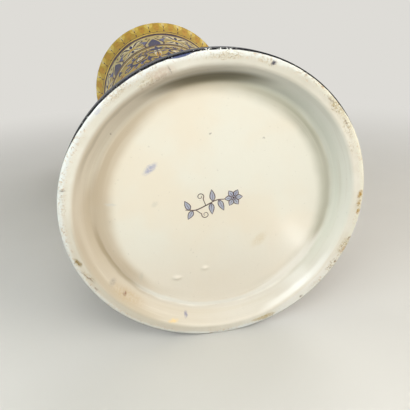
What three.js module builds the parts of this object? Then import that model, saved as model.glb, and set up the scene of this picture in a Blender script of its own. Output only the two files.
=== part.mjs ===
// A tall conical vase of glazed earthenware on a spreading round foot. Millimetres, +Z up, with the
// origin at the centre of the surface that the foot ring stands on.
// The vase is put together as a potter does it: a hollow foot with a closed, recessed underside, a
// turned knop and a conical body with a flared lip, luted to each other with two rings of slip.

import * as THREE from 'three';

// Clay shared by the three sections
const WALL = 5;
const NECK_RADIUS = 15;
const SLIP_THICKNESS = 1;

// Foot
const FOOT_RADIUS = 65;
const FOOT_HEIGHT = 40;
const FOOT_SIDE_HEIGHT = 6.5;
const FOOT_EDGE_ROUNDING = 1.5;
const SHOULDER_RISE = THREE.MathUtils.degToRad(30);
const SHOULDER_REACH = 16;
const NECK_REACH = 20;
const HOLLOW_ROUNDING = 3;

// Foot ring and the recess inside it
const RING_WIDTH = 7;
const RING_INNER_ROUNDING = 2.6;
const RECESS_DEPTH = 6.5;
const RECESS_WALL_LEAN = THREE.MathUtils.degToRad(44);
const RECESS_FILLET = 3;
const RECESS_FLOOR_THICKNESS = 5;

// Knop
const KNOP_RADIUS = 22;
const KNOP_HEIGHT = 16;
const KNOP_COLLAR_HEIGHT = 2;

// Body
const BODY_HEIGHT = 245;
const BOWL_HEIGHT = 9;
const CONE_START_RADIUS = 27;
const CONE_LEAN = THREE.MathUtils.degToRad(8.2);
const FLARE_HEIGHT = 51;
const MOUTH_RADIUS = 68.25;
const LIP_LEAN = THREE.MathUtils.degToRad(25);

// Fineness of the faceted surfaces
const SIDES = 60;
const CURVE_STEPS = 10;
const ROUNDING_STEPS = 4;

const BORE_RADIUS = NECK_RADIUS - WALL;
const QUARTER_TURN = Math.PI / 2;

// Profiles are lists of (radius, height) points, in order round the clay's section.
// A lean is a direction's angle from +Z, positive outwards.

const point = (radius, height) => new THREE.Vector2(radius, height);

const along = (start, lean, distance) =>
  point(start.x + distance * Math.sin(lean), start.y + distance * Math.cos(lean));

function arc(centre, radius, from, to, steps) {
  const curve = new THREE.EllipseCurve(centre.x, centre.y, radius, radius, from, to, to < from);
  return curve.getPoints(steps);
}

// A smooth bend that leaves one point and reaches another along given leans
function bend(start, startLean, end, endLean) {
  const roundestHandle = 0.38;
  const handle = roundestHandle * start.distanceTo(end);
  const leaving = along(start, startLean, handle);
  const arriving = along(end, endLean, -handle);
  return new THREE.CubicBezierCurve(start, leaving, arriving, end);
}

// The inner face of a wall whose outer face follows a curve upwards
function insideOf(curve, thickness) {
  return curve.getPoints(CURVE_STEPS).map((at, i) => {
    const ahead = curve.getTangent(i / CURVE_STEPS);
    return point(at.x - ahead.y * thickness, at.y + ahead.x * thickness);
  });
}

// The part of a line of points that lies above a height, cut exactly there
function above(points, height) {
  const kept = [];
  points.forEach((at, i) => {
    const before = points[i - 1];
    if (before && before.y < height !== at.y < height) {
      kept.push(before.clone().lerp(at, (height - before.y) / (at.y - before.y)));
    }
    if (at.y >= height) kept.push(at);
  });
  return kept;
}

function section(name, profile, material) {
  const tooClose = 1e-4;
  const points = profile.filter((at, i) => i === 0 || at.distanceTo(profile[i - 1]) > tooClose);
  const geometry = new THREE.LatheGeometry(points, SIDES);
  geometry.rotateX(QUARTER_TURN);
  const mesh = new THREE.Mesh(geometry, material);
  mesh.name = name;
  return mesh;
}

// Materials

const GLAZE_ROUGHNESS = 0.22;
const SLIP_ROUGHNESS = 0.45;
const CREAM = 0xefe8d5;
const COBALT = 0x27316b;
const OCHRE_YELLOW = 0xd9b451;
const PALE_SLIP = 0xe9dfc8;

const fired = (color, roughness) => new THREE.MeshStandardMaterial({ color, roughness, metalness: 0 });

// Foot: a spreading pedestal, hollow up to the neck, whose underside is closed by a recessed floor
// inside a foot ring. Its section runs from the middle of the floor round the ring and the side, up
// the shoulder to the neck, and back down the inside to the top of the floor.

function recessAndRing() {
  const ringInner = point(FOOT_RADIUS - RING_WIDTH + RING_INNER_ROUNDING, RING_INNER_ROUNDING);
  const ringOuter = point(FOOT_RADIUS - FOOT_EDGE_ROUNDING, FOOT_EDGE_ROUNDING);
  const wallAngle = Math.PI + RECESS_WALL_LEAN;
  const innerEdge = arc(ringInner, RING_INNER_ROUNDING, wallAngle, 3 * QUARTER_TURN, ROUNDING_STEPS);
  const wallTop = innerEdge[0];
  const wallRise = RECESS_DEPTH - RECESS_FILLET * (1 - Math.sin(RECESS_WALL_LEAN)) - wallTop.y;
  const wallBottom = along(wallTop, -RECESS_WALL_LEAN, wallRise / Math.cos(RECESS_WALL_LEAN));
  const filletRadius = wallBottom.x - RECESS_FILLET * Math.cos(RECESS_WALL_LEAN);
  const fillet = point(filletRadius, RECESS_DEPTH - RECESS_FILLET);
  return [
    point(0, RECESS_DEPTH),
    ...arc(fillet, RECESS_FILLET, QUARTER_TURN, RECESS_WALL_LEAN, ROUNDING_STEPS),
    ...innerEdge,
    ...arc(ringOuter, FOOT_EDGE_ROUNDING, 3 * QUARTER_TURN, 4 * QUARTER_TURN, ROUNDING_STEPS),
  ];
}

function foot() {
  const edge = point(FOOT_RADIUS - FOOT_EDGE_ROUNDING, FOOT_SIDE_HEIGHT);
  const upperEdge = arc(edge, FOOT_EDGE_ROUNDING, 0, QUARTER_TURN - SHOULDER_RISE, ROUNDING_STEPS);
  const shoulder = upperEdge[ROUNDING_STEPS];
  const neck = point(NECK_RADIUS, FOOT_HEIGHT);
  const shoulderHandle = along(shoulder, SHOULDER_RISE - QUARTER_TURN, SHOULDER_REACH);
  const sweep = new THREE.CubicBezierCurve(shoulder, shoulderHandle, along(neck, 0, -NECK_REACH), neck);
  const floorTop = RECESS_DEPTH + RECESS_FLOOR_THICKNESS;
  const hollow = above(insideOf(sweep, WALL), floorTop + HOLLOW_ROUNDING);
  const corner = point(hollow[0].x - HOLLOW_ROUNDING, floorTop + HOLLOW_ROUNDING);
  const profile = [
    ...recessAndRing(),
    ...upperEdge,
    ...sweep.getPoints(CURVE_STEPS),
    ...hollow.reverse(),
    ...arc(corner, HOLLOW_ROUNDING, 0, -QUARTER_TURN, ROUNDING_STEPS),
    point(0, floorTop),
  ];
  return section('foot', profile, fired(CREAM, GLAZE_ROUGHNESS));
}

// A ring of slip between two necks, as wide as their walls

function slipRing(name, base) {
  const top = base + SLIP_THICKNESS;
  const corners = [
    point(BORE_RADIUS, base),
    point(NECK_RADIUS, base),
    point(NECK_RADIUS, top),
    point(BORE_RADIUS, top),
    point(BORE_RADIUS, base),
  ];
  return section(name, corners, fired(PALE_SLIP, SLIP_ROUGHNESS));
}

// Knop: a turned ball between two short collars, bored through

function knop(base) {
  const middle = base + KNOP_HEIGHT / 2;
  const swell = KNOP_RADIUS - NECK_RADIUS;
  const rise = KNOP_HEIGHT / 2 - KNOP_COLLAR_HEIGHT;
  const ball = new THREE.EllipseCurve(NECK_RADIUS, middle, swell, rise, -QUARTER_TURN, QUARTER_TURN);
  const profile = [
    point(BORE_RADIUS, base),
    point(NECK_RADIUS, base),
    ...ball.getPoints(CURVE_STEPS),
    point(NECK_RADIUS, base + KNOP_HEIGHT),
    point(BORE_RADIUS, base + KNOP_HEIGHT),
    point(BORE_RADIUS, base),
  ];
  return section('stem_knop', profile, fired(COBALT, GLAZE_ROUGHNESS));
}

// Body: a round-bottomed cone whose mouth flares to a rounded lip, open down to the neck's bore

function body(base) {
  const top = base + BODY_HEIGHT;
  const lipRadius = WALL / 2;
  const lipCentre = point(MOUTH_RADIUS - lipRadius, top - lipRadius);
  const lip = arc(lipCentre, lipRadius, -LIP_LEAN, Math.PI - LIP_LEAN, 2 * ROUNDING_STEPS);
  const neck = point(NECK_RADIUS, base);
  const coneStart = point(CONE_START_RADIUS, base + BOWL_HEIGHT);
  const coneRise = BODY_HEIGHT - BOWL_HEIGHT - FLARE_HEIGHT;
  const flareStart = along(coneStart, CONE_LEAN, coneRise / Math.cos(CONE_LEAN));
  const bowl = bend(neck, QUARTER_TURN, coneStart, CONE_LEAN);
  const flare = bend(flareStart, CONE_LEAN, lip[0], LIP_LEAN);
  const profile = [
    point(BORE_RADIUS, base),
    ...bowl.getPoints(CURVE_STEPS),
    ...flare.getPoints(CURVE_STEPS),
    ...lip,
    ...insideOf(flare, WALL).reverse(),
    ...insideOf(bowl, WALL).reverse(),
    point(BORE_RADIUS, base + WALL),
    point(BORE_RADIUS, base),
  ];
  return section('body', profile, fired(OCHRE_YELLOW, GLAZE_ROUGHNESS));
}

const lowerSlipBase = FOOT_HEIGHT;
const knopBase = lowerSlipBase + SLIP_THICKNESS;
const upperSlipBase = knopBase + KNOP_HEIGHT;
const bodyBase = upperSlipBase + SLIP_THICKNESS;

const vase = new THREE.Group();
vase.add(
  foot(),
  slipRing('lower_slip_joint', lowerSlipBase),
  knop(knopBase),
  slipRing('upper_slip_joint', upperSlipBase),
  body(bodyBase),
);

export default vase;
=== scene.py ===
"""A tall conical vase of painted, glazed earthenware, seen from below its foot as it lies on a table.

Lengths are in millimetres and become metres where a mesh or the camera is made; the lamps' are in metres.
"""

import math

import bpy
import numpy as np
from mathutils import Matrix, Vector


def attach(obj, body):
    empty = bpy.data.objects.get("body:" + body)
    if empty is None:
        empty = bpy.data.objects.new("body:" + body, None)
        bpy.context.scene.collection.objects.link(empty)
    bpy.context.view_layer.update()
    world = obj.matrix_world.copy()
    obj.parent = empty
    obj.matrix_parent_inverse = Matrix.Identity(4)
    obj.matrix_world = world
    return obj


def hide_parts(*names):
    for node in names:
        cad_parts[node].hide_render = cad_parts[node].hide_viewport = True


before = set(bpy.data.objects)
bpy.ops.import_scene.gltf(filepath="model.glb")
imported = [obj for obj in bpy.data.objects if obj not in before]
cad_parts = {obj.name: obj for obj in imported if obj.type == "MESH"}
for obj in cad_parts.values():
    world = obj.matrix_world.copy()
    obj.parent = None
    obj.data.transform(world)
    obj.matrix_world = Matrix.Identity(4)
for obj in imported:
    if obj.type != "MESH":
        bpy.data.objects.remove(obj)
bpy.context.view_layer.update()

MM = 0.001
BODY = "root"
SHARP_ANGLE = 50.0


# Sizes, the same as those of the CAD solids

WALL = 5.0
NECK_RADIUS = 15.0
BORE_RADIUS = NECK_RADIUS - WALL

FOOT_RADIUS = 65.0
FOOT_HEIGHT = 40.0
FOOT_SIDE_HEIGHT = 6.5
FOOT_EDGE_ROUNDING = 1.5
SHOULDER_RISE = 30.0
SHOULDER_REACH = 16.0
NECK_REACH = 20.0
HOLLOW_ROUNDING = 3.0

RING_WIDTH = 7.0
RING_INNER_ROUNDING = 2.6
RECESS_DEPTH = 6.5
RECESS_WALL_LEAN = 44.0
RECESS_FILLET = 3.0
RECESS_FLOOR_THICKNESS = 5.0

SLIP_THICKNESS = 1.0
KNOP_RADIUS = 22.0
KNOP_HEIGHT = 16.0
KNOP_COLLAR_HEIGHT = 2.0

BODY_HEIGHT = 245.0
BOWL_HEIGHT = 9.0
CONE_START_RADIUS = 27.0
CONE_LEAN = 8.2
FLARE_HEIGHT = 51.0
MOUTH_RADIUS = 68.25
LIP_LEAN = 25.0

LOWER_SLIP_BASE = FOOT_HEIGHT
KNOP_BASE = LOWER_SLIP_BASE + SLIP_THICKNESS
UPPER_SLIP_BASE = KNOP_BASE + KNOP_HEIGHT
BODY_BASE = UPPER_SLIP_BASE + SLIP_THICKNESS
TOP = BODY_BASE + BODY_HEIGHT


# Profiles: arrays of (radius, height) points; a lean is an angle from +Z, positive outwards

def point(radius, height):
    return np.array([radius, height], dtype=float)


def along(start, lean, distance):
    turn = math.radians(lean)
    return start + distance * np.array([math.sin(turn), math.cos(turn)])


def line(start, end, steps):
    share = np.linspace(0, 1, steps + 1)[:, None]
    return start + (end - start) * share


def arc(centre, radius, start, end, steps):
    angles = np.radians(np.linspace(start, end, steps + 1))
    return centre + radius * np.column_stack([np.cos(angles), np.sin(angles)])


def bezier(corners, steps):
    """The points of a cubic curve and its unit directions there."""
    a, b, c, d = corners
    t = np.linspace(0, 1, steps + 1)[:, None]
    places = (1 - t) ** 3 * a + 3 * (1 - t) ** 2 * t * b + 3 * (1 - t) * t ** 2 * c + t ** 3 * d
    ways = 3 * (1 - t) ** 2 * (b - a) + 6 * (1 - t) * t * (c - b) + 3 * t ** 2 * (d - c)
    return places, ways / np.linalg.norm(ways, axis=1, keepdims=True)


def bend(start, start_lean, end, end_lean, steps):
    handle = 0.38 * np.linalg.norm(end - start)
    return bezier([start, along(start, start_lean, handle), along(end, end_lean, -handle), end], steps)


def inside_of(curve):
    """The inner face of a wall whose outer face is a curve that runs upwards."""
    places, ways = curve
    return places + WALL * np.column_stack([-ways[:, 1], ways[:, 0]])


def joined(*runs):
    places = np.vstack(runs)
    far = np.linalg.norm(np.diff(places, axis=0), axis=1) > 1e-4
    return places[np.concatenate([[True], far])]


def foot_profiles():
    """The foot's outside, from the middle of its underside up to the neck, and its hollow inside."""
    ring_inner = point(FOOT_RADIUS - RING_WIDTH + RING_INNER_ROUNDING, RING_INNER_ROUNDING)
    ring_outer = point(FOOT_RADIUS - FOOT_EDGE_ROUNDING, FOOT_EDGE_ROUNDING)
    inner_edge = arc(ring_inner, RING_INNER_ROUNDING, 180 + RECESS_WALL_LEAN, 270, 10)
    lean = math.radians(RECESS_WALL_LEAN)
    wall_rise = RECESS_DEPTH - RECESS_FILLET * (1 - math.sin(lean)) - inner_edge[0][1]
    wall_bottom = along(inner_edge[0], -RECESS_WALL_LEAN, wall_rise / math.cos(lean))
    fillet = point(wall_bottom[0] - RECESS_FILLET * math.cos(lean), RECESS_DEPTH - RECESS_FILLET)
    fillet_arc = arc(fillet, RECESS_FILLET, 90, RECESS_WALL_LEAN, 8)
    flat = line(inner_edge[-1], point(ring_outer[0], 0), 6)
    outer_edge = arc(ring_outer, FOOT_EDGE_ROUNDING, 270, 360, 8)
    side_top = point(ring_outer[0], FOOT_SIDE_HEIGHT)
    side = line(point(FOOT_RADIUS, FOOT_EDGE_ROUNDING), point(FOOT_RADIUS, FOOT_SIDE_HEIGHT), 8)
    upper_edge = arc(side_top, FOOT_EDGE_ROUNDING, 0, 90 - SHOULDER_RISE, 6)
    shoulder = upper_edge[-1]
    neck = point(NECK_RADIUS, FOOT_HEIGHT)
    handle = along(shoulder, SHOULDER_RISE - 90, SHOULDER_REACH)
    sweep = bezier([shoulder, handle, along(neck, 0, -NECK_REACH), neck], 60)
    outside = joined(
        line(point(0, RECESS_DEPTH), fillet_arc[0], 96), fillet_arc,
        line(fillet_arc[-1], inner_edge[0], 8), inner_edge, flat, outer_edge, side, upper_edge, sweep[0],
    )
    floor_top = RECESS_DEPTH + RECESS_FLOOR_THICKNESS
    hollow = inside_of(sweep)
    hollow = hollow[hollow[:, 1] >= floor_top + HOLLOW_ROUNDING]
    corner = point(hollow[0][0] - HOLLOW_ROUNDING, floor_top + HOLLOW_ROUNDING)
    inside = joined(hollow[::-1], arc(corner, HOLLOW_ROUNDING, 0, -90, 6), point(0, floor_top)[None])
    return outside, inside


def body_profiles():
    """The body's outside, from the neck to the top of the lip, and its inside back down to the bore."""
    lip_radius = WALL / 2
    lip_centre = point(MOUTH_RADIUS - lip_radius, TOP - lip_radius)
    outer_lip = arc(lip_centre, lip_radius, -LIP_LEAN, 90, 12)
    inner_lip = arc(lip_centre, lip_radius, 90, 180 - LIP_LEAN, 8)
    neck = point(NECK_RADIUS, BODY_BASE)
    cone_start = point(CONE_START_RADIUS, BODY_BASE + BOWL_HEIGHT)
    cone_rise = BODY_HEIGHT - BOWL_HEIGHT - FLARE_HEIGHT
    flare_start = along(cone_start, CONE_LEAN, cone_rise / math.cos(math.radians(CONE_LEAN)))
    bowl = bend(neck, 90, cone_start, CONE_LEAN, 24)
    flare = bend(flare_start, CONE_LEAN, outer_lip[0], LIP_LEAN, 30)
    outside = joined(bowl[0], line(cone_start, flare_start, 90), flare[0], outer_lip)
    bore_top = point(BORE_RADIUS, BODY_BASE + WALL)
    cone_inside = line(inside_of(flare)[0], inside_of(bowl)[-1], 40)
    inside = joined(inner_lip, inside_of(flare)[::-1], cone_inside, inside_of(bowl)[::-1], bore_top[None])
    return outside, inside


def knop_profile():
    middle = KNOP_BASE + KNOP_HEIGHT / 2
    swell = np.array([KNOP_RADIUS - NECK_RADIUS, KNOP_HEIGHT / 2 - KNOP_COLLAR_HEIGHT])
    ball = point(NECK_RADIUS, middle) + swell * arc(point(0, 0), 1, -90, 90, 48)
    foot = point(NECK_RADIUS, KNOP_BASE)
    head = point(NECK_RADIUS, KNOP_BASE + KNOP_HEIGHT)
    return joined(line(foot, ball[0], 4), ball, line(ball[-1], head, 4))


FOOT_OUTSIDE, FOOT_INSIDE = foot_profiles()
BODY_OUTSIDE, BODY_INSIDE = body_profiles()
KNOP_OUTSIDE = knop_profile()


# Meshes

def add_object(name, data):
    made = bpy.data.objects.new(name, data)
    bpy.context.scene.collection.objects.link(made)
    return made


def make_object(name, vertices, faces, materials, slots=None):
    mesh = bpy.data.meshes.new(name)
    mesh.from_pydata((np.asarray(vertices) * MM).tolist(), [], faces)
    for material in materials:
        mesh.materials.append(material)
    if slots is not None:
        mesh.polygons.foreach_set("material_index", np.asarray(slots, dtype=np.int32))
    mesh.polygons.foreach_set("use_smooth", np.ones(len(faces), dtype=bool))
    mesh.set_sharp_from_angle(angle=math.radians(SHARP_ANGLE))
    mesh.update()
    return add_object(name, mesh)


def turned(name, profile, sides, materials, outer_rows=math.inf, shape=None, closed=False):
    """Turns a profile about +Z; a point on the axis becomes one vertex, and faces point outwards.
    The rows of faces from outer_rows on have the second material, and shape gives the vertices of a
    row their heights."""
    angles = np.arange(sides) * 2 * math.pi / sides
    vertices = []
    rows = []
    for radius, height in profile:
        radii = np.full(sides, radius)
        heights = np.full(sides, height)
        if shape:
            heights = shape(radii, angles, heights)
        if radius < 1e-6:
            rows.append([len(vertices)] * sides)
            vertices.append((0, 0, heights[0]))
            continue
        rows.append(list(range(len(vertices), len(vertices) + sides)))
        vertices.extend(np.column_stack([radii * np.cos(angles), radii * np.sin(angles), heights]).tolist())
    if closed:
        rows.append(rows[0])
    faces = []
    slots = []
    for i, (low, high) in enumerate(zip(rows, rows[1:])):
        for j in range(sides):
            k = (j + 1) % sides
            faces.append(list(dict.fromkeys([low[j], low[k], high[k], high[j]])))
            slots.append(0 if i < outer_rows else 1)
    return make_object(name, vertices, faces, materials, slots)


# Shader helpers

def srgb(red, green, blue):
    """A colour as it is seen on a screen, from 0 to 255, made linear."""
    def linear(value):
        share = value / 255
        return share / 12.92 if share <= 0.04045 else ((share + 0.055) / 1.055) ** 2.4
    return (linear(red), linear(green), linear(blue), 1)


def shaded(colour, share):
    return tuple(share * c for c in srgb(*colour)[:3]) + (1,)


class Graph:
    """Adds nodes to a material; a value given as a socket is linked."""

    def __init__(self, tree):
        self.tree = tree

    def node(self, kind, values=None, **settings):
        made = self.tree.nodes.new(kind)
        for name, value in settings.items():
            setattr(made, name, value)
        for name, value in (values or {}).items():
            if isinstance(value, bpy.types.NodeSocket):
                self.tree.links.new(value, made.inputs[name])
            else:
                made.inputs[name].default_value = value
        return made

    def maths(self, operation, first, *others):
        """Joins values one after the other by an operation."""
        for other in others:
            first = self.node("ShaderNodeMath", {0: first, 1: other}, operation=operation).outputs[0]
        return first

    def times(self, *values):
        return self.maths("MULTIPLY", *values)

    def plus(self, *values):
        return self.maths("ADD", *values)

    def vector(self, operation, a, b):
        return self.node("ShaderNodeVectorMath", {0: a, 1: b}, operation=operation).outputs[0]

    def length(self, way):
        return self.node("ShaderNodeVectorMath", {0: way}, operation="LENGTH").outputs["Value"]

    def step(self, low, high, value):
        """0 below low, 1 above high and smooth between; low may be above high."""
        values = {"Value": value, "From Min": low, "From Max": high}
        return self.node("ShaderNodeMapRange", values, interpolation_type="SMOOTHSTEP").outputs["Result"]

    def band(self, value, start, full, fading, end):
        """1 from full to fading, and 0 before start and after end."""
        return self.times(self.step(start, full, value), self.step(end, fading, value))

    def scaled(self, value, low, high):
        """A share from 0 to 1 stretched between two values."""
        values = {"Value": value, "To Min": low, "To Max": high}
        return self.node("ShaderNodeMapRange", values).outputs["Result"]

    def blend(self, share, a, b):
        """Mixes two colours; three numbers stand for a colour as it is seen on a screen."""
        a, b = (srgb(*c) if isinstance(c, tuple) and len(c) == 3 else c for c in (a, b))
        return self.node("ShaderNodeMix", {0: share, 6: a, 7: b}, data_type="RGBA").outputs[2]

    def mixed(self, share, a, b):
        """Mixes two shader nodes."""
        return self.node("ShaderNodeMixShader", {0: share, 1: a.outputs[0], 2: b.outputs[0]})

    def tint(self, base, share, strength, colour):
        return self.blend(self.times(share, strength), base, colour)

    def noise(self, scale, detail=3, roughness=0.5, distortion=0, where=None, output="Fac"):
        made = self.node("ShaderNodeTexNoise", {
            "Vector": where or self.where, "Scale": scale, "Detail": detail, "Roughness": roughness,
            "Distortion": distortion,
        })
        return made.outputs[output]

    def cloud(self, low, high, *noise):
        """Soft patches of noise: 0 where it is below low and 1 where it is above high."""
        return self.step(low, high, self.noise(*noise))

    def shifted(self, where, scale, reach):
        """A place moved sideways by a noise, up to half of reach."""
        centred = self.vector("SUBTRACT", self.noise(scale, output="Color"), (0.5, 0.5, 0.5))
        return self.vector("ADD", where, self.vector("MULTIPLY", centred, (reach, reach, 0)))


def new_material(name):
    """A material and its graph, in which where is the place on the object in millimetres."""
    material = bpy.data.materials.new(name)
    material.use_nodes = True
    material.node_tree.nodes.clear()
    graph = Graph(material.node_tree)
    coordinates = graph.node("ShaderNodeTexCoord").outputs["Object"]
    graph.where = graph.vector("MULTIPLY", coordinates, (1000, 1000, 1000))
    return material, graph


GLAZE_IOR = 1.5


def glaze_output(graph, colour, roughness, bump, bump_height):
    """Ends a material in a glossy, slightly uneven glaze; bump_height is in millimetres."""
    relief = graph.node("ShaderNodeBump", {"Height": bump, "Distance": bump_height * MM, "Strength": 1})
    shader = graph.node("ShaderNodeBsdfPrincipled", {
        "Base Color": colour, "Roughness": roughness, "Normal": relief.outputs[0],
        "IOR": GLAZE_IOR,
    })
    graph.node("ShaderNodeOutputMaterial", {"Surface": shader.outputs[0]})


# Camera, at the photograph's place

CAMERA_PLACE = np.array([-31.3, -76.1, -150.8])
CAMERA_RIGHT = np.array([0.98442, 0.0218, -0.17447])
CAMERA_UP = np.array([0.09345, -0.9054, 0.41416])
CAMERA_BACK = np.array([-0.14894, -0.424, -0.89333])
PHOTO_WIDTH = 410
SENSOR_WIDTH = 36
LENS = 36


def make_camera():
    data = bpy.data.cameras.new("camera")
    data.sensor_width = SENSOR_WIDTH
    data.lens = LENS
    data.clip_start = 0.005
    data.clip_end = 50
    made = add_object("camera", data)
    axes = np.column_stack([CAMERA_RIGHT, CAMERA_UP, CAMERA_BACK, CAMERA_PLACE * MM])
    made.matrix_world = Matrix(axes.tolist() + [(0, 0, 0, 1)])
    bpy.context.scene.camera = made


def underside_place(column, row, height):
    """The point at a height, in mm, that the photograph shows at a pixel."""
    half = PHOTO_WIDTH / 2
    across = (column - half) / PHOTO_WIDTH * SENSOR_WIDTH / LENS
    down = (row - half) / PHOTO_WIDTH * SENSOR_WIDTH / LENS
    ray = CAMERA_RIGHT * across - CAMERA_UP * down - CAMERA_BACK
    return CAMERA_PLACE + ray * (height - CAMERA_PLACE[2]) / ray[2]


make_camera()


# Light: soft lamps round the vase; a level of 1 shows a surface that faces the lamp in its own colour

COOL = (0.9, 0.985, 1)
WARM = (1, 0.955, 0.87)
PLAIN = (1, 0.99, 0.97)

# Name, direction from the middle of the foot, distance and size in m, level, colour, and whether the
# glaze mirrors it
LAMPS = (
    ("below_left", (-0.78, -0.36, -0.5), 0.52, 0.42, 0.74, COOL, False),
    ("below_right", (0.78, -0.36, -0.5), 0.52, 0.42, 0.81, WARM, False),
    ("below_front", (-0.05, -0.78, -0.62), 0.44, 0.22, 0.34, PLAIN, False),
    ("shine", (-0.62, -0.43, -0.66), 0.52, 0.14, 0.08, COOL, True),
    ("edge", (0.05, -0.56, -0.83), 0.52, 0.12, 0.05, PLAIN, True),
    ("upright", (-0.62, -0.7, 0.3), 1.2, 0.3, 0.07, PLAIN, True),
    ("glint", (0.394, 0.503, -0.77), 0.638, 0.045, 0.015, PLAIN, True),
    ("axis", (0.1, -0.02, -0.99), 0.6, 0.06, 0.012, PLAIN, True),
    ("above_front", (0.45, -0.6, 0.66), 1.3, 1, 0.45, PLAIN, False),
    ("above_back", (-0.5, 0.6, 0.62), 1.3, 1, 0.6, PLAIN, False),
    ("back_right", (0.75, 0.62, 0.22), 1.3, 1, 0.45, WARM, False),
    ("back_shine", (0.85, 0.5, 0.3), 1.2, 0.3, 0.07, PLAIN, True),
)


def make_lamp(name, towards, distance, size, level, colour, mirrored):
    data = bpy.data.lights.new("lamp_" + name, "AREA")
    data.shape = "DISK"
    data.size = size
    data.energy = level * math.pi ** 2 * distance ** 2
    data.color = colour
    made = add_object("lamp_" + name, data)
    direction = Vector(towards).normalized()
    made.location = direction * distance
    made.rotation_euler = direction.to_track_quat("Z", "Y").to_euler()
    made.visible_camera = False
    made.visible_glossy = mirrored


for lamp in LAMPS:
    make_lamp(*lamp)


BACKDROP = srgb(222, 220, 215)


def make_world():
    world = bpy.data.worlds.new("studio")
    bpy.context.scene.world = world
    world.use_nodes = True
    world.node_tree.nodes.clear()
    graph = Graph(world.node_tree)
    direction = graph.node("ShaderNodeTexCoord").outputs["Generated"]
    height = graph.node("ShaderNodeSeparateXYZ", {0: direction}).outputs["Z"]
    ambient = graph.blend(graph.step(-0.5, 0.6, height), (0.05, 0.05, 0.045, 1), (0.34, 0.34, 0.335, 1))
    light = graph.node("ShaderNodeBackground", {"Color": ambient, "Strength": 1})
    seen = graph.node("ShaderNodeBackground", {"Color": BACKDROP, "Strength": 1})
    is_camera = graph.node("ShaderNodeLightPath").outputs["Is Camera Ray"]
    graph.node("ShaderNodeOutputWorld", {"Surface": graph.mixed(is_camera, light, seen).outputs[0]})


make_world()


# Stage: a pale table under the lying vase, as in the photograph, and a pale floor under the standing one.
# Each is seen from its front alone and blocks no lamp.

STAGE_REACH = 2500
FADE_START = 220
FADE_END = 620
FOOT_CONTACT = 3
TABLE_SLOPE = (MOUTH_RADIUS - FOOT_RADIUS) / (TOP - WALL / 2 - FOOT_CONTACT)


def stage_material(name, colour):
    """A pale matt surface near the vase, which turns into the backdrop further away."""
    material, graph = new_material(name)
    tone = graph.blend(graph.cloud(0.35, 0.65, 0.02, 2), colour, shaded(colour, 0.985))
    matt = graph.node("ShaderNodeBsdfDiffuse", {"Color": tone})
    backdrop = graph.node("ShaderNodeEmission", {"Color": BACKDROP, "Strength": 1})
    far = graph.step(FADE_START, FADE_END, graph.length(graph.where))
    surface = graph.mixed(far, matt, backdrop)
    clear = graph.node("ShaderNodeBsdfTransparent")
    behind = graph.node("ShaderNodeNewGeometry").outputs["Backfacing"]
    graph.node("ShaderNodeOutputMaterial", {"Surface": graph.mixed(behind, surface, clear).outputs[0]})
    return material


def make_stage(name, near, far, colour):
    """A wide flat face between two lines along x, each given by its y and z."""
    left, right = -STAGE_REACH, STAGE_REACH
    corners = [(left, *near), (right, *near), (right, *far), (left, *far)]
    made = make_object(name, corners, [[0, 1, 2, 3]], [stage_material(name, colour)])
    for ray in ("diffuse", "glossy", "transmission", "shadow"):
        setattr(made, "visible_" + ray, False)


def table_line(height):
    """Where the table lies at a height: it touches the foot's side and the lip."""
    return FOOT_RADIUS + (height - FOOT_CONTACT) * TABLE_SLOPE, height


make_stage("table", table_line(-STAGE_REACH), table_line(STAGE_REACH), (204, 202, 197))
make_stage("floor", (-STAGE_REACH, 0), (STAGE_REACH, 0), (226, 224, 219))


# Materials

COBALT = (27, 30, 74)
NEARLY_BLACK_COBALT = (14, 14, 34)
SMOKE = (150, 140, 124)

# The photograph's column and row of each pimple under the foot, and its height in mm
PIMPLES = ((205, 268, 0.5), (177, 278, 0.66))


def hill(distance, width):
    """A smooth hill of height 1 in the middle."""
    return np.exp(-(distance / width) ** 2)


def underside_relief(radii, angles, heights):
    """Shallow turning lines, an uneven floor and two pimples, which a potter's hand and the kiln leave."""
    x, y = radii * np.cos(angles), radii * np.sin(angles)
    inside = (radii < 58.5) & (heights < RECESS_DEPTH + 0.01)
    lines = 0.1 * hill(radii - 52.2, 0.7) - 0.07 * hill(radii - 49.9, 0.8)
    lines *= np.clip((y + 44) / 14, 0, 1)
    lines += 0.06 * hill(radii - 56.3, 0.5) * np.clip((y + 30) / 20, 0, 1)
    uneven = 0.05 * np.sin(x / 11 + 1.2) * np.cos(y / 13 + 0.4) + 0.02 * np.sin(x / 4.2 - y / 5.1)
    for column, row, size in PIMPLES:
        centre = underside_place(column, row, RECESS_DEPTH)
        uneven -= size * hill(x - centre[0], 1.5) * hill(y - centre[1], 0.8)
    return heights + np.where(inside, lines + uneven * (radii < 51.5), 0)


def inner_material():
    """The plain, pale glaze of the insides."""
    material, graph = new_material("inner_glaze")
    colour = (236, 229, 211)
    tone = graph.blend(graph.cloud(0.3, 0.7, 0.05, 4), colour, shaded(colour, 0.94))
    gloss = graph.scaled(graph.noise(0.15), 0.105, 0.182)
    glaze_output(graph, tone, gloss, graph.noise(0.35), 0.03)
    return material


def enamel(name, colour, deep, thin):
    """Brushed enamel: deeper where it pooled, thinner where the brush ran dry, with fine bubbles."""
    material, graph = new_material(name)
    tone = graph.blend(graph.cloud(0.42, 0.66, 0.22, 4, 0.6), colour, deep)
    dry = graph.cloud(0.56, 0.7, 0.9, 4, 0.65, 0.6)
    tone = graph.tint(tone, dry, 0.55, thin)
    bubbles = graph.node("ShaderNodeTexVoronoi", {"Vector": graph.where, "Scale": 1.4}).outputs["Distance"]
    pinhole = graph.times(graph.step(0.16, 0.08, bubbles), 0.35)
    tone = graph.blend(pinhole, tone, deep)
    gloss = graph.scaled(graph.noise(0.3), 0.12, 0.3)
    glaze_output(graph, tone, gloss, graph.plus(graph.noise(0.8), graph.times(pinhole, -0.8)), 0.04)
    return material


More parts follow.
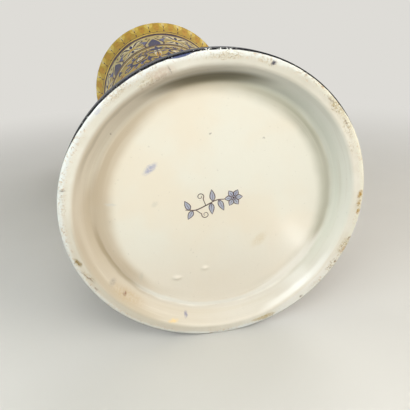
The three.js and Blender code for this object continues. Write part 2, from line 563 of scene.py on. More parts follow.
# Marks of firing and use under the foot, and one patch of painted shade. Each has the photograph's column
# and row of its middle, the height that it lies at, its length and width in mm, its turn in degrees
# clockwise as seen from below, its colour and how strong it is.

BROWN = (122, 88, 48)
GOLDEN_RUST = (176, 136, 52)
INK_BLUE = (128, 136, 186)
FLOOR = RECESS_DEPTH
RING = 0
MARK_DEPTH = 4

MARKS = {
    "blue_smudge": (150, 169, FLOOR, 4.6, 1.9, -38, INK_BLUE, 0.62),
    "pink_stain": (259, 239, FLOOR, 6.2, 3.4, -45, (224, 206, 172), 0.5),
    "pit_upper": (210, 133, FLOOR, 0.8, 0.6, 0, SMOKE, 0.8),
    "pit_upper_right": (264, 138, FLOOR, 0.9, 0.6, 0, SMOKE, 0.55),
    "pit_left": (111, 133, FLOOR, 0.7, 0.6, 0, BROWN, 0.6),
    "pit_middle": (238, 193, FLOOR, 0.7, 0.6, 0, SMOKE, 0.6),
    "faint_dots": (110, 205, FLOOR, 3.2, 1, 8, (216, 212, 204), 0.6),
    "faint_smudge": (155, 204, FLOOR, 2.4, 1.6, -30, (222, 214, 196), 0.6),
    "faint_streak": (141, 277, FLOOR, 1.4, 3.2, 8, (208, 200, 182), 0.6),
    "smear_lower_left": (113, 283, 2.5, 2.1, 2.4, 45, (164, 154, 144), 0.6),
    # painted shade: a soft warm patch low on the wall at the lower left
    "warm_shade_patch": (127, 295, 3, 14, 5.6, 38, (202, 180, 146), 0.7),
    "dot_lower_left": (125, 294, 2.5, 1.3, 0.9, 40, (146, 108, 86), 0.9),
    "blue_dash": (186, 315, 3, 1.8, 1.2, 80, (126, 124, 154), 0.8),
    "black_dot": (274, 63, RING, 1.2, 1.1, 0, (40, 42, 74), 0.95),
    "chip_left_a": (78, 263, RING, 3, 1.5, 62, (142, 114, 48), 0.95),
    "chip_left_b": (87, 277, RING, 6, 0.5, 51, BROWN, 0.6),
    "chip_left_c": (96, 289, RING, 1.5, 0.5, 48, BROWN, 0.7),
    "rust_spot_a": (360, 194, RING, 2.7, 1.7, 100, GOLDEN_RUST, 0.95),
    "rust_spot_b": (359, 203, RING, 1.9, 1.2, 100, GOLDEN_RUST, 0.85),
    "rust_spot_c": (358, 211, RING, 2.1, 1.4, 95, GOLDEN_RUST, 0.95),
    "scratch_right": (347, 124, RING, 3.8, 0.5, 60, BROWN, 0.55),
    "scratch_upper_right": (331, 100, RING, 3.2, 0.45, 38, BROWN, 0.5),
    "fleck_a": (349, 238, RING, 1.3, 0.7, 110, BROWN, 0.7),
    "fleck_b": (343, 249, RING, 2.4, 1, 115, (196, 160, 112), 0.8),
    "fleck_c": (335, 261, RING, 1.5, 0.7, 125, BROWN, 0.7),
    "fleck_d": (330, 268, RING, 1.2, 0.7, 130, BROWN, 0.6),
    "fleck_e": (301, 296, RING, 1.4, 0.7, 140, BROWN, 0.6),
    "fleck_f": (266, 316, RING, 5.8, 1.4, 158, (190, 164, 104), 0.75),
    "fleck_g": (257, 319, RING, 3.6, 1.1, 163, (196, 172, 118), 0.7),
    "ochre_spot": (174, 322, RING, 3.8, 1.3, 8, (234, 206, 148), 0.85),
    "blue_touch": (98, 112, RING, 2.2, 1.1, -42, INK_BLUE, 0.3),
    "blue_edge": (186, 53.5, RING, 3.4, 0.7, -12, INK_BLUE, 0.6),
    "worn_patch": (162, 73, RING, 6.6, 2.8, -18, (208, 190, 172), 0.9),
    "worn_patch_line": (170, 70, RING, 1.9, 0.4, 62, SMOKE, 0.8),
    "dash_left": (62, 191, RING, 1.9, 0.5, 0, SMOKE, 0.8),
}

# Worn patches of the foot ring: column, row, length, width and turn as above, and how strong each is

WORN = (
    (338, 108, 8, 2.4, 48, 0.9),
    (348, 127, 6, 2.2, 62, 0.7),
    (351, 146, 5, 1.6, 72, 0.4),
    (359, 203, 7, 2, 94, 0.5),
    (344, 246, 7, 2.8, 116, 1),
    (332, 264, 6, 2.2, 128, 0.9),
    (266, 316, 6.5, 1.4, 160, 0.55),
    (160, 75, 6.5, 2.6, -20, 0.55),
    (213, 56, 4, 1.6, -6, 0.4),
    (230, 55, 7, 1.8, 0, 0.75),
    (268, 61, 4.5, 1.8, 14, 0.6),
    (150, 81, 7, 2.4, -26, 0.6),
    (114, 95, 8, 2, -42, 0.6),
    (62, 205, 8, 1.6, 92, 0.35),
    (88, 276, 6, 1.4, 54, 0.6),
)


def blot(graph, where, column, row, height, length, width, turn):
    """The distance from the middle of a mark, which is 1 all round its edge."""
    values = {
        "Vector": where, "Location": tuple(underside_place(column, row, height)),
        "Rotation": (0, 0, math.radians(turn)), "Scale": (length, width, MARK_DEPTH),
    }
    return graph.length(graph.node("ShaderNodeMapping", values, vector_type="TEXTURE").outputs[0])


def add_worn_patches(graph, colour):
    """Breaks the glaze into tan and brown flecks inside each worn patch."""
    flecks = graph.cloud(0.47, 0.55, 1.1, 5, 0.75, 0.8)
    tan_or_brown = graph.cloud(0.5, 0.66, 1.9)
    clay = graph.blend(tan_or_brown, (202, 184, 146), (134, 110, 72))
    moved = graph.shifted(graph.where, 0.5, 3)
    for column, row, length, width, turn, strength in WORN:
        distance = blot(graph, moved, column, row, RING, length, width, turn)
        colour = graph.tint(colour, graph.times(graph.step(1, 0.4, distance), flecks), strength, clay)
    return colour


def add_marks(graph, colour):
    """Lays the marks over a colour, each as a blot with a broken edge, on the foot's lowest faces alone."""
    moved = graph.shifted(graph.shifted(graph.where, 0.5, 1.5), 1.6, 0.8)
    patchy = graph.scaled(graph.cloud(0.36, 0.56, 1.1, 4, 0.6), 0.5, 1)
    for *place, mark_colour, strength in MARKS.values():
        share = graph.times(graph.step(1, 0.25, blot(graph, moved, *place)), strength)
        colour = graph.tint(colour, share, patchy, mark_colour)
    return colour


def foot_material():
    """Cream underside with wear and painted light and shade, and cobalt from the ring's outer edge up."""
    material, graph = new_material("foot_glaze")
    step, band, cloud, noise, scaled = graph.step, graph.band, graph.cloud, graph.noise, graph.scaled
    times, plus, blend, tint = graph.times, graph.plus, graph.blend, graph.tint
    parts = graph.node("ShaderNodeSeparateXYZ", {0: graph.where})
    across, down, height = parts.outputs
    radius = graph.length(graph.vector("MULTIPLY", graph.where, (1, 1, 0)))
    wandering = plus(radius, scaled(noise(0.09, 2), -0.8, 0.8))

    # ways across the underside, and how far towards its left, its top and its right a place lies
    low_right = plus(times(across, 0.68), times(down, 0.73))
    high_right = plus(times(across, 0.6), times(down, -0.8))
    low_left = plus(down, times(across, -1))
    left, top, side = step(-22, -44, across), step(-34, -50, down), step(-30, 30, across)

    cream = blend(cloud(0.35, 0.65, 0.028), (241, 230, 210), (240, 235, 220))
    # painted shade: the lower half of the underside a little darker, as the light falls off there
    cream = tint(cream, step(0, 45, down), 0.7, (234, 222, 204))

    # painted shade in the corner of the recess, brownish on one side and greenish on the other
    ring_distance = plus(radius, scaled(noise(0.06, 2), -2, 2), times(top, -2.4))
    corner = times(
        step(44.5, 50.5, plus(ring_distance, times(left, 1.8))), step(54.5, 51.5, ring_distance),
        step(48, 26, down), step(51, 43, low_right), scaled(step(42, 50, high_right), 1, 1.3),
    )
    cream = tint(cream, corner, 0.62, blend(side, (184, 160, 126), (165, 162, 139)))

    # the wall of the recess, with painted light and shade: warmer on one side and greener on the other,
    # lighter at the upper left, a dark painted shadow at the top and painted shade at the bottom
    low_wall_shading = blend(side, (209, 193, 167), (223, 221, 204))
    low_wall_shading = tint(low_wall_shading, step(-62, -72, plus(across, down)), 0.8, (238, 230, 212))
    high_wall_shading = blend(side, (226, 214, 194), (236, 232, 218))
    wall = blend(step(53.5, 58, wandering), low_wall_shading, high_wall_shading)
    # painted shadow: the top of the wall made dark olive, where the lamps do not reach
    deep = times(step(-48, -55.5, plus(down, times(across, 0.05))), step(58, 55.4, radius))
    wall = blend(deep, wall, (98, 90, 60))
    # painted shade: the wall darker towards the bottom of the underside, where it faces the lamps
    wall = blend(step(14, 48, down), wall, (213, 205, 191))
    cream = tint(cream, band(radius, 50.5, 53.5, 58.2, 60.8), 0.9, wall)

    # painted shade in two dark lines in the wall of the recess, at its upper left and lower left
    top_left = plus(down, times(across, 0.6))
    crease_shade = times(band(wandering, 56.8, 57.6, 57.8, 58.6), step(-46, -62, top_left))
    cream = tint(cream, crease_shade, 0.22, (138, 122, 88))
    low_crease_shade = band(wandering, 50.8, 51.8, 52.6, 53.6)
    low_crease_shade = times(low_crease_shade, step(52, 66, low_left), step(14, 4, low_right))
    cream = tint(cream, low_crease_shade, 0.7, (170, 147, 110))

    # the thinner, duller glaze of the foot ring, with painted shade at its top, lower left and left and a
    # painted highlight along its outer edge
    dull = blend(cloud(0.3, 0.7, 0.12, 4), (237, 231, 217), (229, 221, 204))
    cream = tint(cream, step(58.6, 60.6, radius), 0.9, dull)
    upper_ring_shade = times(step(-30, -54, down), step(59, 61, radius))
    cream = tint(cream, upper_ring_shade, 0.85, (217, 211, 196))
    # painted highlight along the ring's outer edge, cooler on the left and warmer on the right
    edge = step(62, 63.6, wandering)
    edge_highlight_colour = blend(step(15, 50, across), (243, 246, 243), (238, 234, 214))
    cream = tint(cream, edge, 0.7, edge_highlight_colour)
    # painted shade on the lower left of the ring and wall, and a darker painted band on the ring at the left
    shade = times(step(40, 90, low_left), step(49, 54, radius), scaled(edge, 1, 0.5))
    cream = tint(cream, shade, 0.75, (211, 199, 179))
    left_ring_shade = band(radius, 56.8, 58.2, 59.8, 61)
    left_ring_shade = times(left_ring_shade, step(50, 70, low_left), step(-20, -38, across))
    cream = tint(cream, left_ring_shade, 0.5, (196, 180, 154))

    # painted highlights along the low edges, on the side that faces the lamps
    outer_highlight = times(band(wandering, 56.4, 57.8, 58.6, 60), step(52.5, 57, low_right))
    cream = tint(cream, outer_highlight, 0.6, (250, 247, 239))
    low_highlight = times(band(wandering, 49.4, 51, 51.8, 53.2), step(31, 42, down))
    inner_highlight = times(band(wandering, 46.5, 50, 52, 53.4), step(44.5, 49, low_right))
    cream = tint(cream, graph.maths("MAXIMUM", low_highlight, inner_highlight), 0.7, (250, 246, 236))
    ring_highlight = times(step(59.6, 60.6, radius), step(56.5, 60.5, low_right))
    cream = tint(cream, ring_highlight, 0.6, (250, 247, 239))

    # throwing lines round the wall of the recess
    ringed = {0: radius, 1: times(across, 0.03), 2: times(down, 0.03)}
    ringed = graph.node("ShaderNodeCombineXYZ", ringed).outputs[0]
    lines = noise(0.5, 3, 0.55, where=ringed)
    near_wall = times(band(radius, 46, 50, 59.5, 61.5), scaled(top, 1, 0.2))
    cream = tint(cream, times(step(0.54, 0.66, lines), near_wall), 0.18, (246, 240, 226))
    cream = tint(cream, times(step(0.46, 0.34, lines), near_wall), 0.15, (196, 182, 154))

    # fine dirt and pinholes
    cream = tint(cream, cloud(0.71, 0.76, 0.7, 2), 0.16, SMOKE)

    # wear along the ring that the vase stands on
    on_ring = times(step(60.9, 63, radius), step(1.5, 0.5, height))
    patchy = scaled(cloud(0.4, 0.56, 0.075, 2), 0.12, 1)
    wear = times(on_ring, patchy, cloud(0.53, 0.6, 0.9, 5, 0.75, 0.8))
    worn = blend(cloud(0.52, 0.64, 1.6), (214, 190, 156), (150, 112, 74))
    cream = tint(cream, wear, 0.8, worn)
    cream = add_marks(graph, add_worn_patches(graph, cream))

    # cobalt from a hand-painted edge upwards, with a thin run and some flakes at the top of the view
    upper = step(-40, -50, down)
    run = times(band(across, -19, -15.5, -11, -8), upper)
    ragged = scaled(noise(0.22), -0.16, 0.16)
    start = plus(scaled(step(-22, -42, down), 1.2, 0.28), ragged, times(run, -0.26))
    flecked = times(band(across, -9, -5, 5, 9), upper)
    flakes = plus(noise(1.1, 4, 0.7), times(flecked, 0.1))
    flaked = times(step(0.64, 0.68, flakes), step(1.9, 1.4, height))
    blue = times(
        step(-0.03, 0.03, graph.maths("SUBTRACT", height, start)), step(63.55, 63.75, radius),
        graph.maths("SUBTRACT", 1, flaked),
    )
    blue = graph.maths("MAXIMUM", blue, step(7, 7.2, height))
    cobalt = blend(cloud(0.4, 0.62, 0.14), NEARLY_BLACK_COBALT, COBALT)
    thick = times(step(5, 2.5, height), cloud(0.8, 0.64, 0.1, 2))
    cobalt = blend(thick, cobalt, (10, 10, 18))
    cobalt = blend(times(run, step(0.45, 0.15, height)), cobalt, (80, 88, 126))

    gloss = plus(scaled(noise(0.12), 0.1, 0.24), times(wear, 0.35))
    fine = times(noise(0.6, 4, 0.6), 0.15)
    bump = plus(noise(0.3), times(wear, -0.8), fine, times(lines, near_wall, 2))
    glaze_output(graph, blend(blue, cream, cobalt), gloss, bump, 0.05)
    return material


def body_material():
    """Bands of coloured ground, from the calyx at the bottom to the rim."""
    material, graph = new_material("body_glaze")
    blend, noise = graph.blend, graph.noise
    height = graph.node("ShaderNodeSeparateXYZ", {0: graph.where}).outputs["Z"]
    height = graph.plus(height, graph.scaled(noise(0.12, 2), -0.5, 0.5))
    patches = graph.cloud(0.32, 0.68, 0.055, 4)

    field = blend(patches, (208, 178, 74), (188, 158, 62))
    frieze = blend(patches, (222, 204, 140), (206, 184, 112))
    rim = blend(patches, (212, 176, 54), (196, 156, 44))
    colour = blend(patches, (220, 178, 66), (206, 162, 54))
    for start, ground in ((89, field), (239, frieze), (275, rim)):
        colour = blend(graph.step(start - 0.2, start + 0.2, height), colour, ground)
    colour = graph.tint(colour, graph.cloud(0.35, 0.65, 0.35, 4, 0.6), 0.16, (150, 112, 62))
    gloss = graph.scaled(noise(0.1), 0.1, 0.22)
    glaze_output(graph, colour, gloss, noise(0.25), 0.05)
    return material


foot_glaze = foot_material()
body_glaze = body_material()
inner_glaze = inner_material()
BLUE_ENAMEL = (COBALT, NEARLY_BLACK_COBALT, (52, 58, 118))
knop_glaze = enamel("knop_glaze", *BLUE_ENAMEL)
slip_glaze = enamel("slip_glaze", *BLUE_ENAMEL)


# Painting: thin pads of enamel on the glaze, each a brush stroke with a width that changes along it

def lengths_along(path):
    return np.concatenate([[0], np.cumsum(np.linalg.norm(np.diff(path, axis=0), axis=1))])


def smooth(points, step):
    """A smooth line through points, with a point about every step mm."""
    points = np.asarray(points, dtype=float)
    padded = np.vstack([2 * points[0] - points[1], points, 2 * points[-1] - points[-2]])
    runs = []
    for a, b, c, d in zip(padded, padded[1:], padded[2:], padded[3:]):
        count = max(2, int(np.linalg.norm(c - b) / step) + 1)
        t = np.linspace(0, 1, count, endpoint=False)[:, None]
        cubic = 2 * b + (c - a) * t + (2 * a - 5 * b + 4 * c - d) * t ** 2 + (3 * b - a - 3 * c + d) * t ** 3
        runs.append(cubic / 2)
    return np.vstack(runs + [points[-1:]])


class Skin:
    """The outer face of a turned piece, measured along its profile from the bottom up."""

    def __init__(self, profile):
        self.profile = profile
        self.lengths = lengths_along(profile)

    def at(self, length):
        return [np.interp(length, self.lengths, self.profile[:, k]) for k in (0, 1)]

    def place(self, lengths, angles, lift):
        radii, heights = self.at(lengths)
        (before_r, before_h), (after_r, after_h) = self.at(lengths - 0.3), self.at(lengths + 0.3)
        out, up = after_h - before_h, before_r - after_r
        size = np.hypot(out, up)
        radii, heights = radii + lift * out / size, heights + lift * up / size
        return np.stack([radii * np.cos(angles), radii * np.sin(angles), heights], axis=-1)


class Sheet:
    """A flat drawing, in mm, laid on a skin at an angle in degrees and a height: x to the right, y up."""

    def __init__(self, skin, angle, height, scale=1, mirror=False, turn=0):
        self.skin = skin
        self.angle = math.radians(angle)
        self.length = float(np.interp(height, skin.profile[:, 1], skin.lengths))
        self.radius = float(skin.at(self.length)[0])
        self.scale = scale
        self.mirror = -1 if mirror else 1
        self.turn = math.radians(turn)

    def turned(self, points):
        x, y = np.asarray(points, dtype=float).T * self.scale
        x = x * self.mirror
        c, s = math.cos(self.turn), math.sin(self.turn)
        return np.column_stack([c * x - s * y, s * x + c * y])

    def place(self, points, lift):
        x, y = points[..., 0], points[..., 1]
        return self.skin.place(self.length + y, self.angle + x / self.radius, lift)


class FloorSheet(Sheet):
    """A flat drawing on the floor of the recess, seen from below: x to the right and y up."""

    def __init__(self, centre, turn):
        self.centre = centre
        self.scale = self.mirror = 1
        self.turn = math.radians(turn)

    def place(self, points, lift):
        x, y = self.centre[0] + points[..., 0], self.centre[1] - points[..., 1]
        return np.stack([x, y, RECESS_DEPTH - lift + 0 * x], axis=-1)


ENAMEL_LIFT = 0.02
ENAMEL_CROWN = 0.015
ENAMEL_SINK = 0.06
LAYER_STEP = 0.025


class Brush:
    """Collects the strokes of one colour; higher layers lie over lower ones."""

    def __init__(self, layer):
        self.lift = ENAMEL_LIFT + LAYER_STEP * layer
        self.vertices = []
        self.faces = []

    def stroke(self, sheet, points, widths, step=0.9, closed=False):
        path = smooth(sheet.turned(points), step)
        lengths = lengths_along(path)
        wide = sheet.scale * np.interp(lengths / lengths[-1], np.linspace(0, 1, len(widths)), widths)
        ways = np.gradient(path, axis=0)
        ways /= np.linalg.norm(ways, axis=1, keepdims=True)
        left = np.column_stack([-ways[:, 1], ways[:, 0]])
        if closed:
            path, wide, left = path[:-1], wide[:-1], left[:-1]
        columns = max(2, int(wide.max() / 1.3) + 1)
        across = np.linspace(-0.5, 0.5, columns + 1)
        grid = path[:, None] + left[:, None] * (wide[:, None] * across)[..., None]
        crown = self.lift + ENAMEL_CROWN * (1 - (2 * across) ** 4) + 0 * wide[:, None]
        top = sheet.place(grid, crown)
        bottom = sheet.place(grid, -ENAMEL_SINK + 0 * crown)
        rows, span = len(path), columns + 1
        start = len(self.vertices)
        self.vertices.extend(top.reshape(-1, 3).tolist() + bottom.reshape(-1, 3).tolist())
        under = rows * span

        def quad(*corners):
            self.faces.append([start + corner for corner in corners])

        last = rows if closed else rows - 1
        for i in range(last):
            here, ahead = i * span, ((i + 1) % rows) * span
            for k in range(columns):
                quad(here + k, ahead + k, ahead + k + 1, here + k + 1)
                quad(under + here + k, under + here + k + 1, under + ahead + k + 1, under + ahead + k)
            quad(here, under + here, under + ahead, ahead)
            quad(here + columns, ahead + columns, under + ahead + columns, under + here + columns)
        if not closed:
            end = (rows - 1) * span
            for k in range(columns):
                quad(k, k + 1, under + k + 1, under + k)
                quad(end + k, under + end + k, under + end + k + 1, end + k + 1)

    def leaf(self, sheet, base, tip, width, bow=0):
        """A pointed leaf; bow moves its middle to the left of the way from base to tip."""
        base, tip = np.asarray(base, dtype=float), np.asarray(tip, dtype=float)
        way = tip - base
        middle = base + way * 0.5 + np.array([-way[1], way[0]]) * bow
        shape = [0.12, 0.75, 1, 0.9, 0.55, 0.06]
        self.stroke(sheet, [base, middle, tip], [max(0.06, width * s) for s in shape])

    def dot(self, sheet, centre, radius):
        across = np.linspace(-1, 1, 9)
        widths = [max(0.08, 2 * radius * math.sqrt(1 - a * a)) for a in across]
        x, y = centre
        self.stroke(sheet, [(x - radius, y), (x, y), (x + radius, y)], widths, step=radius / 4)

    def ring(self, skin, height, width, wobble):
        """A line all the way round; wobble is how far it strays up and down."""
        sheet = Sheet(skin, 0, height)
        turns = np.linspace(0, 2 * math.pi, 145)
        stray = wobble * (0.6 * np.sin(5 * turns + height) + 0.4 * np.sin(13 * turns + 2 * height))
        widths = width * (1 + 0.18 * np.sin(7 * turns + height) + 0.12 * np.sin(17 * turns))
        line_round = np.column_stack([turns * sheet.radius, stray])
        self.stroke(sheet, line_round, widths.tolist(), closed=True, step=9)


def spiral(centre, radius, start, turns, shrink, steps=22):
    """Points that wind in round a centre from a start angle in degrees; negative turns run clockwise."""
    share = np.linspace(0, 1, steps)
    angles = math.radians(start) + share * turns * 2 * math.pi
    radii = radius * (1 - (1 - shrink) * share)
    return np.asarray(centre) + np.column_stack([radii * np.cos(angles), radii * np.sin(angles)])


BODY_SKIN = Skin(BODY_OUTSIDE)
FOOT_TOP_START = int(np.argmax(FOOT_OUTSIDE[:, 1] > RECESS_DEPTH + 0.01))
FOOT_SKIN = Skin(FOOT_OUTSIDE[FOOT_TOP_START:])
KNOP_SKIN = Skin(KNOP_OUTSIDE)

cream = Brush(0)
lemon = Brush(0)
ochre = Brush(1)
pale_blue = Brush(1)
cobalt = Brush(2)
manganese = Brush(3)
wash = Brush(1)
ink = Brush(2)

BODY_TURN = -8.5
CALYX_TURN = 7
FOOT_TURN = 4


def around(skin, count, start, height, **options):
    """Sheets at equal angles round a piece, the first of them at the angle start."""
    return [Sheet(skin, start + 360 * k / count, height, **options) for k in range(count)]


def palmette(sheet, height, size, spread, fill, vein):
    """A fan of five leaves with a bud at its foot."""
    foot_point = np.array([0, height])
    for lean in (1, 0.5, 0, -0.5, -1):
        turn = math.radians(90 + spread * lean)
        way = size * (1 - 0.32 * abs(lean)) * np.array([math.cos(turn), math.sin(turn)])
        fill.leaf(sheet, foot_point, foot_point + way, size * 0.24, -0.12 * lean)
        vein.leaf(sheet, foot_point + (0, 0.2), foot_point + 0.8 * way, size * 0.06, -0.12 * lean)
    manganese.dot(sheet, foot_point, size * 0.09)


def directions(count):
    """Unit ways at equal angles, for the petals of a flower."""
    turns = 2 * math.pi * (np.arange(count) + 0.25) / count
    return np.column_stack([np.cos(turns), np.sin(turns)])


def flower(sheet, centre, size, petals=6, fill=cream, heart=ochre):
    for way in directions(petals):
        fill.leaf(sheet, centre, centre + size * way, size * 0.62)
    heart.dot(sheet, centre, size * 0.3)


BERRIES = ((3.2, 9, 0.6), (23.4, 20.6, 0.8), (21.5, 24, 0.6), (17.4, 24.8, 0.8), (24.6, 3, 0.6))


def scrolls(*place):
    """A pair of leafy scrolls that leave a stem and wind in round a flower."""
    heart = np.array([13, 10.5])
    for mirror in (False, True):
        sheet = Sheet(BODY_SKIN, *place, mirror)
        stem = np.vstack([[(0.6, 0), (5, 1), (11, 2.2)], spiral(heart, 8, -70, 1.35, 0.3)])
        cobalt.stroke(sheet, stem, [0.9, 2.1, 2.4, 2.2, 1.7, 1.2, 0.5])
        manganese.stroke(sheet, stem + (0, -1.2), [0.2, 0.5, 0.5, 0.4, 0.2])
        reach = 8.3
        outer = spiral(heart, reach, -70, 0.72, 0.85, 9)
        for k, at in enumerate(outer[:-1]):
            away = (at - heart) / reach
            tip = at + away * (3.9 - 0.2 * k) + np.array([-away[1], away[0]]) * 3.2
            pale_blue.leaf(sheet, at, tip + away, 3, -0.15)
            cobalt.leaf(sheet, at, tip, 1.7, -0.2)
        cobalt.leaf(sheet, (5, 1), (6.5, -5.2), 2.3, 0.25)
        pale_blue.leaf(sheet, (9, 1.6), (12.5, -4.6), 2.9, 0.25)
        cobalt.leaf(sheet, (9, 1.6), (12, -3.8), 1.5, 0.25)
        cobalt.leaf(sheet, (4, 1.5), (6.2, 7.6), 2.2, -0.3)
        ochre.leaf(sheet, (16, 1.2), (21, -4.4), 2.4, 0.25)
        flower(sheet, heart, 3.6)
        tendril = np.vstack([[(6, 16.4), (8.6, 20.2)], spiral((12.4, 22), 2.6, 150, -1.1, 0.3, 12)])
        manganese.stroke(sheet, tendril, [0.3, 0.8, 0.8, 0.6, 0.3], step=0.6)
        manganese.leaf(sheet, (8.6, 20.2), (6.6, 24.6), 1.3, 0.2)
        for x, y, size in BERRIES:
            manganese.dot(sheet, (x, y), size)


def candelabrum(angle):
    """One upright ornament of the cone, in tiers that grow with the cone."""
    for height, scale in ((94.5, 0.72), (115, 0.84), (140, 0.97), (169, 1.1), (201, 1.2)):
        sheet = Sheet(BODY_SKIN, angle, height, scale)
        cream.leaf(sheet, (0, -6), (0, 30), 4.6)
        scrolls(angle, height, scale)
        ochre.leaf(sheet, (0, -4), (0, 13), 3.4)
        manganese.stroke(sheet, [(0, -6), (0, 8), (0, 20)], [0.3, 0.7, 0.3])
        palmette(sheet, 17.5, 11, 66, cobalt, cream)
        cobalt.leaf(sheet, (-2.6, 13.2), (2.6, 13.2), 1.8)
        manganese.stroke(sheet, [(-3.4, 15.4), (0, 14.6), (3.4, 15.4)], [0.3, 0.8, 0.3])


def garland(angle):
    """A hanging string of husks and berries between two upright ornaments."""
    for k, height in enumerate((226, 212, 198, 185, 172, 160, 148.5, 137.5, 127, 117, 108, 99.5, 92.5)):
        sheet = Sheet(BODY_SKIN, angle, height, 0.42 + 0.62 * (height - 90) / 150)
        if k % 3 == 1:
            flower(sheet, (0, 0), 4.6, 8, ochre, manganese)
            for side in (-1, 1):
                for up in (1, -1):
                    cobalt.leaf(sheet, (4.4 * side, 0), (9.5 * side, 3 * up), 1.9, 0.2 * side * up)
                manganese.dot(sheet, (11 * side, 0), 0.7)
        else:
            cobalt.leaf(sheet, (0, 4.8), (-3.4, -4), 2.3, 0.3)
            cobalt.leaf(sheet, (0, 4.8), (3.4, -4), 2.3, -0.3)
            cream.leaf(sheet, (0, 5), (0, -5.5), 2.8)
            manganese.leaf(sheet, (0, 2), (0, -4.5), 0.9)
        manganese.dot(sheet, (0, 6.6), 0.75)
        manganese.dot(sheet, (0, -6.8), 0.6)


def rim_decoration():
    lobes = 28
    gaps = around(BODY_SKIN, lobes, BODY_TURN + 180 / lobes, 288)
    for sheet, gap in zip(around(BODY_SKIN, lobes, BODY_TURN, 291), gaps):
        lemon.stroke(sheet, [(0, 9.8), (0.2, 5), (0, -2.4)], [7.4, 8.4, 7.6, 5, 0.6])
        cream.stroke(sheet, [(0, 9.6), (0, 6), (0, 1.6)], [4.6, 4.8, 3.6, 0.4])
        manganese.leaf(sheet, (0, 4), (0, -3), 0.8)
        ochre.stroke(gap, [(0, 9.6), (0.2, 3.6), (0, -4.8)], [3.8, 5, 5.4, 4.2, 0.5])
        manganese.dot(gap, (0, -6.8), 0.9)
        manganese.leaf(sheet, (0, -9.2), (0, -4.6), 1.4)


def frieze_corner(angle):
    """A blue spearhead on the frieze's lower line, between curled leaves."""
    sheet = Sheet(BODY_SKIN, angle, 241)
    cobalt.stroke(sheet, [(0, -0.4), (0, 6), (0, 14), (0.2, 22)], [10.4, 11, 10.4, 8.2, 5, 1])
    for side in (-1, 1):
        manganese.stroke(sheet, [(8.4 * side, 0.6), (8 * side, 9), (2 * side, 26)], [1.4, 1.2, 0.6])
        pale_blue.leaf(sheet, (8.6 * side, 9), (12 * side, 24), 4.2, 0.2 * side)
        lemon.leaf(sheet, (8.6 * side, 2), (15 * side, 12), 5, 0.15 * side)
        manganese.dot(sheet, (5 * side, 27.6), 1.1)
    flower(sheet, (0, 7), 3.2, 5)
    cream.leaf(sheet, (0, 11), (0, 18), 1.6)


def frieze_middle(angle):
    """A round flower between large curled leaves."""
    sheet = Sheet(BODY_SKIN, angle, 257)
    for side in (-1, 1):
        cream.leaf(sheet, (1.6 * side, 3), (14 * side, 13), 7.4, 0.22 * side)
        cream.leaf(sheet, (1.6 * side, -3), (13 * side, -12), 6.4, -0.22 * side)
        winding = spiral((9.4 * side, 9.4), 4.2, 90 + 75 * side, -0.8 * side, 0.3, 10)
        curl = np.vstack([[(1.8 * side, 3.4), (5 * side, 9.6)], winding])
        manganese.stroke(sheet, curl, [0.9, 2.2, 2, 1.3, 0.6], step=0.7)
        manganese.stroke(sheet, curl * (1, -0.9), [0.8, 1.9, 1.8, 1.2, 0.6], step=0.7)
        cobalt.leaf(sheet, (0, 3.6 * side), (0, 13.6 * side), 3.2)
        manganese.leaf(sheet, (4.4 * side, 0), (12.6 * side, 0), 2.2)
    flower(sheet, (0, 0), 4.8, 7, lemon)


def body_decoration():
    rim_decoration()
    for height, width in ((280.9, 0.7), (275.2, 4.6), (239.2, 4), (234.8, 0.8), (89, 1.2)):
        manganese.ring(BODY_SKIN, height, width, 0.25)
    lemon.ring(BODY_SKIN, 278.9, 1.6, 0.2)
    cream.ring(BODY_SKIN, 231.6, 1.4, 0.25)
    for k in range(8):
        frieze_corner(BODY_TURN + 45 * k)
        frieze_middle(BODY_TURN + 45 * k + 22.5)
    for k in range(4):
        candelabrum(BODY_TURN + 90 * k)
        garland(BODY_TURN + 90 * k + 45)
    gaps = around(BODY_SKIN, 12, CALYX_TURN + 15, 75)
    for sheet, gap in zip(around(BODY_SKIN, 12, CALYX_TURN, 69), gaps):
        cobalt.stroke(sheet, [(0, -10.5), (0, 3), (0, 17)], [4, 9, 11.6, 10, 6, 0.3])
        cream.leaf(sheet, (0, -8), (0, 12), 3)
        ochre.leaf(gap, (0, -6), (0, 11), 3)
        manganese.dot(gap, (0, 12.2), 0.8)


